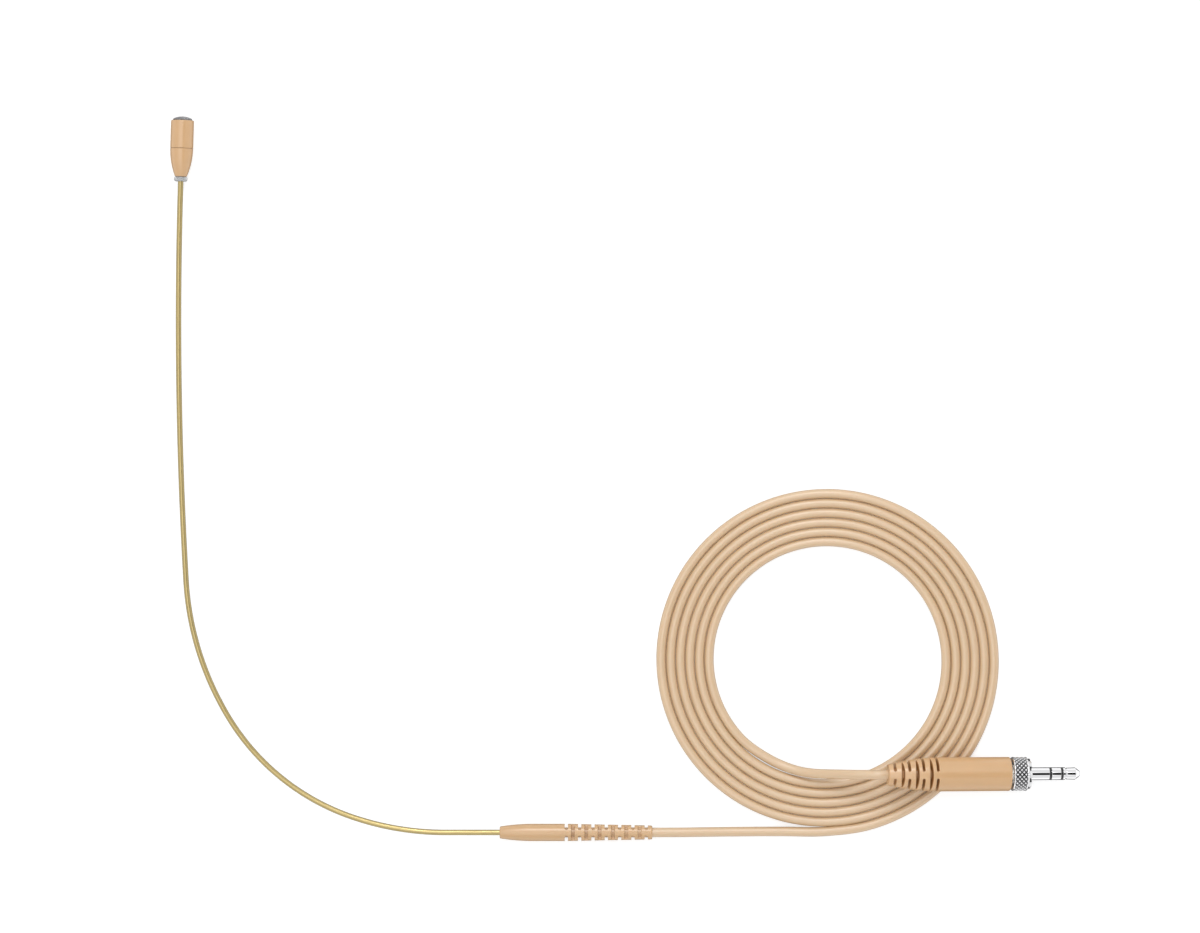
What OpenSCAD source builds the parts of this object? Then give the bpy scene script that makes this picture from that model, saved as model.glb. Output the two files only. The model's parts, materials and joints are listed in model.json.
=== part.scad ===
// Headset microphone: a small capsule on a bendable boom, a slim grip with a bend relief,
// a thin cable wound into a flat coil, and a screw-locked 3.5 mm plug.
// It lies on a table at z = 0. +X runs along the grip towards the cable, +Y up the boom.
// The origin is under the middle of the boom, capsule and grip.

/* [Capsule] */
// Outer diameter of the pull-off cap
cap_d = 6.25; // [6.15:0.05:6.5]
// Length of the cap from the seam to its rim
cap_len = 7.5; // [7.3:0.1:8.5]
// Height of the mesh dome above the rim
dome_h = 1; // [0.6:0.1:1.4]
// Length of the tapered housing below the seam
housing_len = 7.7; // [7.5:0.1:8]
// Outer diameter of the clear drip ring
drip_d = 3.7; // [3.2:0.1:4.2]

/* [Boom] */
// Outer diameter of the boom tube
boom_d = 1.5; // [1.4:0.05:1.5]
// Bore of the boom tube
boom_bore = 1; // [0.9:0.05:1.05]
// Outer diameter of the wires inside the boom
wires_d = 0.7; // [0.4:0.05:0.75]

/* [Grip] */
// Diameter of the grip barrel
grip_d = 4.7; // [4.5:0.05:4.9]
// Length of the rounded nose of the grip
grip_nose = 9; // [7:0.5:11]
// Length of the straight barrel
grip_barrel = 9; // [8:0.5:12]
// Diameter at the cable end of the bend relief
relief_end_d = 3.8; // [3.5:0.1:4.2]
// Distance from one side slot of the bend relief to the next
relief_pitch = 3.65; // [3.4:0.05:4]

/* [Cable] */
// Diameter of the cable
cable_d = 2.6; // [2.2:0.05:2.6]
// Number of turns in the coil
coil_turns = 6; // [3:1:8]
// Radius of the coil's outermost turn, at the middle of the cable
coil_r = 46.95; // [44:0.05:48]
// Distance from one turn to the next
coil_pitch = 2.66; // [2.66:0.02:3]

/* [Plug] */
// Outer diameter of the plug cover and of the lock ring
plug_d = 9.3; // [9.2:0.05:9.8]
// Length of the plug cover with its bend relief
cover_len = 33.9; // [33.5:0.1:36]
// Diameter of the cover's cable end
cover_end_d = 5.6; // [5.2:0.1:6]
// Length of the knurled band of the lock ring
knurl_len = 4.1; // [3.9:0.1:4.5]
// Diameter of the threaded nose of the lock ring
nose_d = 8.4; // [8:0.1:8.6]

/* [Hidden] */
$fn = 64;

FIT = 0.02;          // gap between fixed pieces that nest
SLIDE_GAP = 0.06;    // gap round the cap's seat
TURN_GAP = 0.08;     // gap round the lock ring's bearing
EPS = 1;             // overshoot of every cutter

// --- The boom's centre line, from the mouth of the grip to the drip ring ---
// One run for each length of tube between two bending points, as [length, degrees turned
// to the right]. The first heads along -X.
BOOM_RUNS = [[15, 0], [26, 19], [44, 39.6], [40, 28.1], [91, 4.25], [18.3, 0.85]];

function run_len(i) = BOOM_RUNS[i][0];
function run_turn(i) = BOOM_RUNS[i][1];
function run_radius(i) = run_len(i) * 180 / (PI * run_turn(i));
function heading(i) = i == 0 ? 180 : heading(i - 1) - run_turn(i - 1);
function run_chord(i) = run_turn(i) == 0 ? run_len(i) : 2 * run_radius(i) * sin(run_turn(i) / 2);
function run_start(i) = i == 0 ? [0, 0] : run_start(i - 1) + run_chord(i - 1) *
    [cos(heading(i - 1) - run_turn(i - 1) / 2), sin(heading(i - 1) - run_turn(i - 1) / 2)];

BOOM_END = len(BOOM_RUNS);
boom_r = boom_d / 2;
bore_r = boom_bore / 2;
wires_r = wires_d / 2;
ball_r = boom_r - 0.03;
tube_gap = 0.6;      // from a bending point to the start of the next length of tube
wires_gap = 0.9;     // and to the start of its wires

// --- Heights along the capsule, from the underside of the drip ring ---
cap_r = cap_d / 2;
drip_h = 1.25;
housing_z = 1.34;
seam_z = housing_z + housing_len;
seam_gap = 0.2;
cap_z = seam_z + seam_gap;
cap_top = cap_z + cap_len;
dome_top = cap_top + dome_h;
grille_r = cap_r - 0.44;
dome_r = (grille_r * grille_r + dome_h * dome_h) / (2 * dome_h);
dome_centre = dome_top - dome_r;
ogive_r = 20.5;
spigot_r = 2.6;
spigot_top = seam_z + 3.9;
can_r = 2.1;
can_z = seam_z - 0.45;
can_top = can_z + 4;
stack_r = can_r - 0.15 - FIT;
tube_in_capsule = 3.6;
ferrule_r = 1.36;
ledge_z = cap_top - 2.1;

// --- Distances along the grip, from its mouth ---
grip_r = grip_d / 2;
barrel_end = grip_nose + grip_barrel;
side_slots = 7;
grip_len = barrel_end + (side_slots - 1) * relief_pitch + 1.9;
nose_sweep_r = 54.7;
mouth_r = 1.55;
cavity_r = 1.6;
cavity_from = 5;
cavity_to = 16;
tube_in_grip = 9;
cable_r = cable_d / 2;
cable_bore_r = cable_r + FIT;

// --- The frame: the capsule's cap and the grip's barrel both rest on the table ---
tip = run_start(BOOM_END);
tip_heading = heading(BOOM_END);
lay_tilt = asin((cap_r - grip_r) / (tip.y + cap_z));
mouth_x = -(grip_len + tip.x + cap_z * cos(tip_heading) - cap_r * sin(tip_heading)) / 2;
grip_y = (grip_r - (tip.y + dome_top * sin(tip_heading)) * cos(lay_tilt)) / 2;
cable_exit = [mouth_x + grip_len, grip_y, grip_r];

// --- The coil and the plug, where they lie on the table ---
coil_centre = [113.4, -49.7];
coil_out_r = coil_r + 0.6;
coil_in_r = coil_r - coil_turns * coil_pitch - 0.6;
plug_y = -80.7;
ring_front_x = 167.6;
plug_r = plug_d / 2;
rest_gap = 0.1;
coil_edge_x = coil_centre.x + sqrt(pow(coil_out_r, 2) - pow(plug_y - coil_centre.y, 2));
plug_tilt = atan((cable_d + rest_gap) / (ring_front_x - coil_edge_x));

// --- Distances along the plug, from the cable end of its cover ---
relief_len = 14.75;
cover_end_r = cover_end_d / 2;
cover_sweep_r = (pow(relief_len, 2) + pow(plug_r - cover_end_r, 2)) / (2 * (plug_r - cover_end_r));
plug_cavity_from = 17;
flange_from = cover_len - 6.2;
flange_r = 3.6;
neck_r = 2.25;
ring_from = cover_len + 0.55;
knurl_to = ring_from + knurl_len;
nose_to = knurl_to + 0.95;
lip_from = nose_to - 1.2;
lip_to = lip_from + 0.45;
lip_r = 2.6;
pin_r = 1.75;
sleeve_root_r = 1.5;
sleeve_to = nose_to + 5.35;
ring_band_from = sleeve_to + 0.65;
ring_band_to = ring_band_from + 2.55;
tip_from = ring_band_to + 0.65;
tip_to = nose_to + 14;
lug_v = [flange_from - 0.35, flange_from - 0.9, flange_from - 2.9];
lug_r = [2.45, 2, 1.2];
lug_angle = [90, 210, 330];
tab_len = 1.6;
cable_in_plug = 20.2;
cable_behind_plug = 1.5;

// The cable between the grip and the coil, and between the coil and the plug.
LEAD_ROUTE = [
    cable_exit - [0.6, 0, 0], cable_exit + [3, 0, -0.05],
    [74, -96.85, 2.1], [79, -96.8, 1.75], [84, -96.75, 1.45], [90, -96.7, 1.3],
    [96, -96.65, 1.3], [102, -96.65, 1.3]
];
TAIL_ROUTE = [
    [98, -76.8, 1.3], [102, -78.7, 1.6], [106, -80, 2.6], [110, -80.6, 4.1], [114, -80.7, 5.9],
    [118, -80.7, 7.7], [121.5, -80.7, 9.1], [125, -80.7, 10],
    plug_point(-cable_behind_plug - 1), plug_point(-cable_behind_plug)
];
CABLE_SIDES = 8;

function plug_point(v) = [
    ring_front_x + (v - knurl_to) * cos(plug_tilt) + plug_r * sin(plug_tilt),
    plug_y,
    plug_r * cos(plug_tilt) - (v - knurl_to) * sin(plug_tilt)
];

// --- Shared shapes ---
function unit(v) = v / norm(v);
function along(route, i) = unit(route[min(i + 1, len(route) - 1)] - route[max(i - 1, 0)]);
function side_of(route, i) = unit(cross(along(route, i), [0, 0, 1]));
function up_of(route, i) = cross(side_of(route, i), along(route, i));
function cable_ring(route, i) = [
    for (k = [0:CABLE_SIDES - 1]) let (a = (k + 0.5) * 360 / CABLE_SIDES)
        route[i] + cable_r * (cos(a) * side_of(route, i) + sin(a) * up_of(route, i))
];

// A cable along a route, with one ring of points at each of its stations.
module cable_along(route) {
    last = len(route) - 1;
    n = CABLE_SIDES;
    points = [for (i = [0:last]) each cable_ring(route, i)];
    skin = [
        for (i = [0:last - 1], k = [0:n - 1])
            [i * n + k, i * n + (k + 1) % n, (i + 1) * n + (k + 1) % n, (i + 1) * n + k]
    ];
    start_cap = [for (k = [n - 1:-1:0]) k];
    end_cap = [for (k = [0:n - 1]) last * n + k];
    polyhedron(points = points, faces = concat(skin, [start_cap, end_cap]));
}

// A round tube standing on Z.
module ring(r, bore, from, to) {
    translate([0, 0, from]) difference() {
        cylinder(r = r, h = to - from);
        translate([0, 0, -EPS]) cylinder(r = bore, h = to - from + 2 * EPS);
    }
}

// A round bar standing on Z.
module bar(r, from, to) {
    translate([0, 0, from]) cylinder(r = r, h = to - from);
}

// Points of a curve that starts at the full radius and draws in by a circular sweep.
function sweep(full_r, sweep_r, widest, ends) = [
    for (z = ends) [full_r - sweep_r + sqrt(pow(sweep_r, 2) - pow(z - widest, 2)), z]
];

module boom_plane() {
    translate([mouth_x, grip_y, grip_r]) rotate([lay_tilt, 0, 0]) children();
}

module at_run(i) {
    boom_plane() translate([run_start(i).x, run_start(i).y, 0]) rotate(heading(i)) children();
}

module capsule_frame() {
    at_run(BOOM_END) rotate([0, 90, 0]) children();
}

module grip_frame() {
    translate([mouth_x, grip_y, grip_r]) rotate([0, 90, 0]) children();
}

module plug_frame() {
    translate([ring_front_x, plug_y, 0]) rotate([0, plug_tilt, 0])
        translate([-knurl_to, 0, plug_r]) rotate([0, 90, 0]) children();
}

// --- Boom ---
// A round tube along one run, carried on past its start and its end by the given lengths.
module run_tube(i, r, bore, before, after) {
    module section() {
        difference() {
            circle(r = r, $fn = 48);
            if (bore > 0) circle(r = bore, $fn = 48);
        }
    }
    if (run_turn(i) == 0) {
        at_run(i) translate([-before, 0, 0]) rotate([0, 90, 0])
            linear_extrude(before + run_len(i) + after) section();
    } else {
        degrees = 180 / (PI * run_radius(i));
        at_run(i) translate([0, -run_radius(i), 0])
            rotate(90 - run_turn(i) - after * degrees)
            rotate_extrude(angle = run_turn(i) + (before + after) * degrees, $fn = 256)
            translate([run_radius(i), 0]) section();
    }
}

// A rounded collar on the tube's end, for the next length to turn about.
module ball_collar() {
    root_r = boom_r - 0.05;
    inner_r = bore_r + 0.05;
    root_len = 0.5;
    steps = 3;
    ball = [
        for (i = [0:steps]) let (x = root_r + (inner_r - root_r) * i / steps)
            [x, sqrt(ball_r * ball_r - x * x)]
    ];
    rotate([0, 90, 0]) rotate_extrude()
        polygon(concat([[inner_r, -root_len], [root_r, -root_len]], ball));
}

// One length of tube: a collar at its outer bending point, a square end at its inner one.
module boom_span(i) {
    first = i == 0;
    last = i == BOOM_END - 1;
    color("#d8bd80") union() {
        run_tube(i, boom_r, bore_r, first ? tube_in_grip : -tube_gap, last ? tube_in_capsule : 0);
        if (!last) at_run(i + 1) ball_collar();
    }
}

module wires_span(i) {
    first = i == 0;
    last = i == BOOM_END - 1;
    color("#b5651d") run_tube(i, wires_r, 0, first ? tube_in_grip : -wires_gap, last ? tube_in_capsule : 0);
}

module boom_tube_root() { boom_span(0); }
module boom_tube_lower() { boom_span(1); }
module boom_tube_bend() { boom_span(2); }
module boom_tube_middle() { boom_span(3); }
module boom_tube_upper() { boom_span(4); }
module boom_tube_tip() { boom_span(5); }
module boom_wires_root() { wires_span(0); }
module boom_wires_lower() { wires_span(1); }
module boom_wires_bend() { wires_span(2); }
module boom_wires_middle() { wires_span(3); }
module boom_wires_upper() { wires_span(4); }
module boom_wires_tip() { wires_span(5); }

// --- Cap: pulls off along the capsule's axis ---
module cap_shell() {
    edge = 0.15;
    color("#dcb184") capsule_frame() rotate_extrude() polygon([
        [spigot_r + SLIDE_GAP, cap_z], [cap_r - edge / 2, cap_z], [cap_r, cap_z + edge / 2],
        [cap_r, cap_top - edge], [cap_r - edge, cap_top], [grille_r + FIT, cap_top],
        [grille_r + FIT, ledge_z + 0.3], [2.3, ledge_z + 0.3], [2.3, ledge_z],
        [spigot_r + SLIDE_GAP, ledge_z]
    ]);
}

// Stainless mesh: a shallow dome on a short skirt.
module cap_grille() {
    skin = 0.22;
    steps = 8;
    inner_r = grille_r - skin;
    function dome(r, radius) = [
        for (i = [0:steps]) let (x = r * (steps - i) / steps)
            [x, dome_centre + sqrt(radius * radius - x * x)]
    ];
    inside = dome(inner_r, dome_r - skin);
    color("#9a9a9a") capsule_frame() rotate_extrude() polygon(concat(
        [[inner_r, ledge_z + 0.95], [grille_r, ledge_z + 0.95]],
        dome(grille_r, dome_r),
        [for (i = [steps:-1:0]) inside[i]]
    ));
}

module cap_felt() {
    color("#3c3c3c") capsule_frame() bar(grille_r - 0.05, ledge_z + 0.32, ledge_z + 0.93);
}

// --- Capsule ---
module capsule_housing() {
    hole_r = ferrule_r + FIT;
    cavity = 1.7;
    seat_r = 2.35;
    edge = 0.2;
    full_r = cap_r - 0.01;
    steps = 9;
    outside = sweep(full_r, ogive_r, seam_z,
        [for (i = [0:steps]) housing_z + edge + i * (housing_len - edge) / steps]);
    color("#dcb184") capsule_frame() rotate_extrude() polygon(concat(
        [[hole_r, housing_z], [outside[0].x - edge, housing_z]],
        outside,
        [[spigot_r, seam_z], [spigot_r, spigot_top - 0.15], [spigot_r - 0.15, spigot_top],
         [seat_r, spigot_top], [seat_r, seam_z - 1], [cavity, seam_z - 1],
         [cavity, housing_z + 2.3], [hole_r, housing_z + 2.3]]
    ));
}

module capsule_can() {
    wall = 0.15;
    color("silver") capsule_frame() difference() {
        bar(can_r, can_z, can_top);
        bar(can_r - wall, can_z - EPS, can_top - wall);
        bar(0.5, can_z, can_top + EPS);
    }
}

module diaphragm() {
    film = 0.05;
    color("gold") capsule_frame() {
        bar(stack_r, can_top - 0.5, can_top - 0.5 + film);
        ring(stack_r, stack_r - 0.28, can_top - 0.5 + film, can_top - 0.17);
    }
}

module diaphragm_spacer() {
    color("#f2f2f2") capsule_frame() ring(stack_r, stack_r - 0.28, can_top - 0.62, can_top - 0.51);
}

module backplate() {
    color("goldenrod") capsule_frame() difference() {
        bar(1.6, can_top - 1.08, can_top - 0.63);
        for (a = [0:90:270]) rotate(a) translate([0.9, 0, 0]) bar(0.15, can_top - 2, can_top);
    }
}

module backplate_holder() {
    color("#efe9dc") capsule_frame() rotate_extrude() polygon([
        [1.3, can_top - 1.6], [1.55, can_top - 1.6], [1.55, can_z + 0.55], [stack_r, can_z + 0.55],
        [stack_r, can_top - 0.63], [1.62, can_top - 0.63], [1.62, can_top - 1.1], [1.3, can_top - 1.1]
    ]);
}

module capsule_board() {
    color("darkgreen") capsule_frame() bar(stack_r, can_z + 0.03, can_z + 0.53);
}

module impedance_converter() {
    color("#202020") capsule_frame() translate([-0.6, -0.5, can_z + 0.54]) cube([1.2, 1, 0.55]);
}

module capsule_boot() {
    color("#303030") capsule_frame() ring(2.33, can_r + FIT, can_z, can_z + 2.6);
}

module capsule_leads() {
    color("#b5651d") capsule_frame() for (side = [-1, 1]) {
        translate([side * 0.35, 0, 0]) bar(0.15, tube_in_capsule + 0.05, can_z);
    }
}

module boom_ferrule() {
    color("#5a5a5e") capsule_frame() ring(ferrule_r, boom_r + FIT, 0.72, tube_in_capsule);
}

module drip_ring() {
    edge = 0.25;
    drip_r = drip_d / 2;
    color("#d9dcde") capsule_frame() rotate_extrude() polygon([
        [boom_r + FIT, 0], [drip_r - edge, 0], [drip_r, edge], [drip_r, drip_h - edge],
        [drip_r - edge, drip_h], [ferrule_r + FIT, drip_h], [ferrule_r + FIT, 0.7], [boom_r + FIT, 0.7]
    ]);
}

// --- Grip ---
// Slots that open to both sides leave a bridge above and below, and the other way round.
module relief_slots(first, pitch, count, width, bridge, core, turned) {
    reach = 8;
    for (i = [0:count - 1]) translate([0, 0, first + i * pitch]) rotate(turned) {
        for (side = [-1, 1]) difference() {
            translate([-reach, side > 0 ? bridge : -reach - bridge, -width / 2])
                cube([2 * reach, reach, width]);
            translate([0, 0, -width]) cylinder(r = core, h = 2 * width);
        }
    }
}

module grip_sleeve() {
    steps = 8;
    edge = 0.35;
    nose = sweep(grip_r, nose_sweep_r, grip_nose,
        [for (i = [0:steps]) edge + i * (grip_nose - edge) / steps]);
    end_r = relief_end_d / 2;
    first_slot = barrel_end + 0.25;
    side_w = 0.85;
    front_w = 1;
    bridge = 0.75;
    color("#dcb184") grip_frame() difference() {
        rotate_extrude() polygon(concat(
            [[boom_r + FIT, 0], [mouth_r, 0]],
            nose,
            [[grip_r, barrel_end], [end_r, grip_len - 0.25], [end_r - 0.2, grip_len],
             [cable_bore_r, grip_len], [cable_bore_r, cavity_to], [cavity_r, cavity_to],
             [cavity_r, cavity_from], [boom_r + FIT, cavity_from]]
        ));
        relief_slots(first_slot, relief_pitch, side_slots, side_w, bridge, cable_r, 0);
        relief_slots(first_slot + relief_pitch / 2, relief_pitch, side_slots - 1, front_w,
            bridge, cable_r, 90);
    }
}

module grip_crimp() {
    color("#b08d57") grip_frame() ring(cavity_r - FIT, boom_r + FIT, cavity_from + 0.05, tube_in_grip);
}

module solder_splices() {
    color("silver") grip_frame() for (side = [-1, 1]) translate([side * 0.5, 0, 0]) {
        bar(0.15, tube_in_grip + 0.05, 9.7);
        bar(0.35, 9.7, 11.6);
        bar(0.15, 11.6, 12.4);
    }
}

module cable_crimp_ring() {
    color("#b08d57") grip_frame() ring(cavity_r - FIT, cable_bore_r, 13, cavity_to - 0.05);
}

module cable_grip_end() {
    color("#e0c19c") grip_frame() bar(cable_r, 12.5, grip_len - 0.6);
}

// --- Cable ---
module cable_lead() { color("#e0c19c") cable_along(LEAD_ROUTE); }
module cable_tail() { color("#e0c19c") cable_along(TAIL_ROUTE); }

// The outer shape of the wound cable.
module cable_coil() {
    edge = 0.4;
    color("#e0c19c") translate([coil_centre.x, coil_centre.y, 0]) rotate_extrude($fn = 128) polygon([
        [coil_in_r, edge], [coil_in_r + edge, 0], [coil_out_r - edge, 0], [coil_out_r, edge],
        [coil_out_r, cable_d - edge], [coil_out_r - edge, cable_d],
        [coil_in_r + edge, cable_d], [coil_in_r, cable_d - edge]
    ]);
}

// --- Plug ---
module plug_cover() {
    steps = 8;
    edge = 0.25;
    cable_hole_r = cable_r + 0.05;
    first_slot = 1.85;
    slot_pitch = 3.87;
    slots = 4;
    side_w = 0.7;
    front_w = 0.8;
    bridge = 0.95;
    core = 2;
    sides = sweep(plug_r, cover_sweep_r, relief_len,
        [for (i = [0:steps]) edge + i * (relief_len - edge) / steps]);
    color("#dcb184") plug_frame() difference() {
        rotate_extrude() polygon(concat(
            [[cable_hole_r, 0], [cover_end_r - edge, 0]],
            sides,
            [[plug_r, cover_len - edge], [plug_r - edge, cover_len], [flange_r + FIT, cover_len],
             [flange_r + FIT, flange_from], [3, flange_from], [3, plug_cavity_from],
             [cable_hole_r, plug_cavity_from]]
        ));
        relief_slots(first_slot, slot_pitch, slots, side_w, bridge, core, 0);
        relief_slots(first_slot + slot_pitch / 2, slot_pitch, slots - 1, front_w, bridge, core, 90);
    }
}

// Brass insert: its flange is moulded into the cover and its lip keeps the lock ring on.
module plug_neck() {
    color("#c9ccd0") plug_frame() rotate_extrude() polygon([
        [sleeve_root_r + FIT, flange_from + 0.1], [flange_r, flange_from + 0.1],
        [flange_r, cover_len - 0.05], [neck_r, cover_len - 0.05], [neck_r, lip_from],
        [lip_r, lip_from], [lip_r, lip_to], [sleeve_root_r + FIT, lip_to]
    ]);
}

module lock_ring() {
    edge = 0.3;
    nose_r = nose_d / 2;
    lands = 8;
    gap_w = 1.2;
    gap_depth = 0.7;
    hollow_r = lip_r + 0.1;
    color("#b9bcc0") plug_frame() difference() {
        rotate_extrude() polygon([
            [neck_r + TURN_GAP, ring_from], [plug_r - edge, ring_from], [plug_r, ring_from + edge],
            [plug_r, knurl_to - edge / 4], [plug_r - edge / 4, knurl_to], [nose_r, knurl_to],
            [nose_r, nose_to - 0.1], [nose_r - 0.1, nose_to], [hollow_r, nose_to],
            [hollow_r, lip_from - TURN_GAP], [neck_r + TURN_GAP, lip_from - TURN_GAP]
        ]);
        for (i = [0:lands - 1]) rotate((i + 0.5) * 360 / lands)
            translate([hollow_r - 0.3, -gap_w / 2, nose_to - gap_depth]) cube([3, gap_w, EPS]);
    }
}

module jack_sleeve() {
    color("#dfe1e4") plug_frame() rotate_extrude() polygon([
        [1.2, flange_from - 0.4], [sleeve_root_r, flange_from - 0.4], [sleeve_root_r, nose_to],
        [pin_r, nose_to], [pin_r, sleeve_to], [1.2, sleeve_to]
    ]);
}

module jack_ring() {
    color("#dfe1e4") plug_frame() rotate_extrude() polygon([
        [0.57, flange_from - 1.2], [0.85, flange_from - 1.2], [0.85, ring_band_from],
        [pin_r, ring_band_from], [pin_r, ring_band_to], [0.57, ring_band_to]
    ]);
}

module jack_tip() {
    color("#dfe1e4") plug_frame() rotate_extrude() polygon([
        [0, flange_from - 3.2], [0.3, flange_from - 3.2], [0.3, tip_from], [pin_r, tip_from],
        [pin_r, tip_from + 0.6], [1.45, tip_from + 0.6], [1.45, tip_from + 0.85], [1.55, tip_from + 0.85],
        [1.66, tip_to - 1.25], [1.4, tip_to - 0.6], [0.9, tip_to - 0.1], [0.6, tip_to], [0, tip_to]
    ]);
}

// Two moulded insulators, one inside the other, each with a band that shows.
module jack_insulators() {
    color("#141414") plug_frame() {
        rotate_extrude() polygon([
            [0.87, flange_from - 0.2], [1.18, flange_from - 0.2], [1.18, sleeve_to],
            [pin_r, sleeve_to], [pin_r, ring_band_from], [0.87, ring_band_from]
        ]);
        rotate_extrude() polygon([
            [0.32, flange_from - 2.2], [0.55, flange_from - 2.2], [0.55, ring_band_to],
            [pin_r, ring_band_to], [pin_r, tip_from], [0.32, tip_from]
        ]);
    }
}

// One solder lug for each contact: a washer with a tab that points at the cable.
module jack_lugs() {
    plate = 0.3;
    tab_w = 0.8;
    contact_r = [sleeve_root_r + FIT, 0.87, 0.32];
    module lug(r, bore, v, angle) {
        difference() {
            union() {
                bar(r, v, v + plate);
                rotate(angle) translate([r - 0.35, -tab_w / 2, v - tab_len])
                    cube([plate, tab_w, tab_len + 0.1]);
            }
            bar(bore, v - EPS, v + EPS);
        }
    }
    color("#cfcfcf") plug_frame() {
        for (i = [0:2]) lug(lug_r[i], contact_r[i], lug_v[i], lug_angle[i]);
    }
}

module plug_wires() {
    wire_r = 0.25;
    gap = 0.05;
    color("#a33c2a") plug_frame() for (i = [0:2]) {
        rotate(lug_angle[i]) translate([lug_r[i] - 0.2, 0, 0])
            bar(wire_r, cable_in_plug + gap, lug_v[i] - tab_len - gap);
    }
}

module cable_clamp() {
    color("#b08d57") plug_frame() ring(2.9, cable_bore_r, plug_cavity_from + 0.2, cable_in_plug - 0.4);
}

module cable_plug_end() {
    color("#e0c19c") plug_frame() bar(cable_r, -cable_behind_plug, cable_in_plug);
}

cap_shell();
cap_grille();
cap_felt();
capsule_housing();
capsule_can();
diaphragm();
diaphragm_spacer();
backplate();
backplate_holder();
capsule_board();
impedance_converter();
capsule_boot();
capsule_leads();
boom_ferrule();
drip_ring();
boom_tube_root();
boom_tube_lower();
boom_tube_bend();
boom_tube_middle();
boom_tube_upper();
boom_tube_tip();
boom_wires_root();
boom_wires_lower();
boom_wires_bend();
boom_wires_middle();
boom_wires_upper();
boom_wires_tip();
grip_sleeve();
grip_crimp();
solder_splices();
cable_crimp_ring();
cable_grip_end();
cable_lead();
cable_coil();
cable_tail();
plug_cover();
plug_neck();
lock_ring();
jack_sleeve();
jack_ring();
jack_tip();
jack_insulators();
jack_lugs();
plug_wires();
cable_clamp();
cable_plug_end();
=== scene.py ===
"""Headset microphone, lying flat on a pale table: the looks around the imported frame.

Every length is in metres. Round pieces are turned about a Place, which is an axis read from the
frame, and are built in that Place's own coordinates: local X is up, local Z runs along the axis.
"""
import json
import math

import bpy
from mathutils import Matrix, Vector


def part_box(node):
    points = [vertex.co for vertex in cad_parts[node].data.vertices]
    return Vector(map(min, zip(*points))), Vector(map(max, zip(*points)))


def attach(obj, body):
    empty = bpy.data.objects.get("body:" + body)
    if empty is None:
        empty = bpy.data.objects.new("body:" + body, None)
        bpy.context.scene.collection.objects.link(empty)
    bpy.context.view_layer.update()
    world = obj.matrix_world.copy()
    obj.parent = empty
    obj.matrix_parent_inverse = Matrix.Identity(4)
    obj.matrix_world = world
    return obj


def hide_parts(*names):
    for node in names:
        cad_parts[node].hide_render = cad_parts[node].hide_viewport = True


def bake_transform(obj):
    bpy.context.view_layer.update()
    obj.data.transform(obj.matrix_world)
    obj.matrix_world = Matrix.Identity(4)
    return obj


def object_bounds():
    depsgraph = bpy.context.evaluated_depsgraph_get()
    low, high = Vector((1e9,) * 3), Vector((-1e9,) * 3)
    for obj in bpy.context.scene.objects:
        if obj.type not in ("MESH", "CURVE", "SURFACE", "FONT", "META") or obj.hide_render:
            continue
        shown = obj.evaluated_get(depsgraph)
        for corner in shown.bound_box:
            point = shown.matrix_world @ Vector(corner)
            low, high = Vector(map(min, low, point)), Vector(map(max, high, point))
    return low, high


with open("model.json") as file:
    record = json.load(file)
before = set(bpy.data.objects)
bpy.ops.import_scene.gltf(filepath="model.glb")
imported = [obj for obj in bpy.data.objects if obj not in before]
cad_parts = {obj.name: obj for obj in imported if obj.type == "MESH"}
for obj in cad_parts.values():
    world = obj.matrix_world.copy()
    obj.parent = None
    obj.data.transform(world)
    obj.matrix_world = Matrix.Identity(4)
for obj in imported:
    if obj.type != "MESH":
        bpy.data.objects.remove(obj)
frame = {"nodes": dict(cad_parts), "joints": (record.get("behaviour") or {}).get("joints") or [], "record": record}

cad_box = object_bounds()
nodes = frame["nodes"]
joints = {j["name"]: j for j in frame["joints"]}
mounts = {m["name"]: m for m in frame["record"]["mounts"]}
slot_of = {p["node"]: p["material_slot"] for p in frame["record"]["subparts"]}

MM = 0.001
TURN = 2 * math.pi
UP = Vector((0, 0, 1))


# --- Places: the axes of the object, read from the frame ------------------------------------------

class Place:
    """A point and a direction, with local X turned up."""

    def __init__(self, point, direction):
        along = Vector(direction).normalized()
        up = (UP - along * along.dot(UP)).normalized()
        self.matrix = Matrix((up, along.cross(up), along)).transposed().to_4x4()
        self.matrix.translation = Vector(point)

    def from_node(self, name):
        """The same axis, moved so that this node starts at height 0."""
        self.matrix.translation = self.at(self.span(name)[0])
        return self

    def at(self, z):
        """The point on the axis at this height, in the world."""
        return self.matrix @ Vector((0, 0, z))

    def local(self, name):
        """A node's points in this Place's coordinates."""
        back = self.matrix.inverted()
        return [back @ v.co for v in nodes[name].data.vertices]

    def span(self, name):
        heights = [p.z for p in self.local(name)]
        return min(heights), max(heights)

    def radius(self, name):
        return max(math.hypot(p.x, p.y) for p in self.local(name))


grip_low, grip_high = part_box("grip_sleeve")
grip_middle = (grip_low + grip_high) / 2
grip = Place((grip_low.x, grip_middle.y, grip_middle.z), (1, 0, 0))
capsule = Place(mounts["cap_seat"]["pos_m"], mounts["cap_seat"]["axis"]).from_node("drip_ring")
plug = Place(mounts["jack_pin"]["pos_m"], mounts["jack_pin"]["axis"]).from_node("plug_cover")


# --- Camera: straight above the table -------------------------------------------------------------

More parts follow.
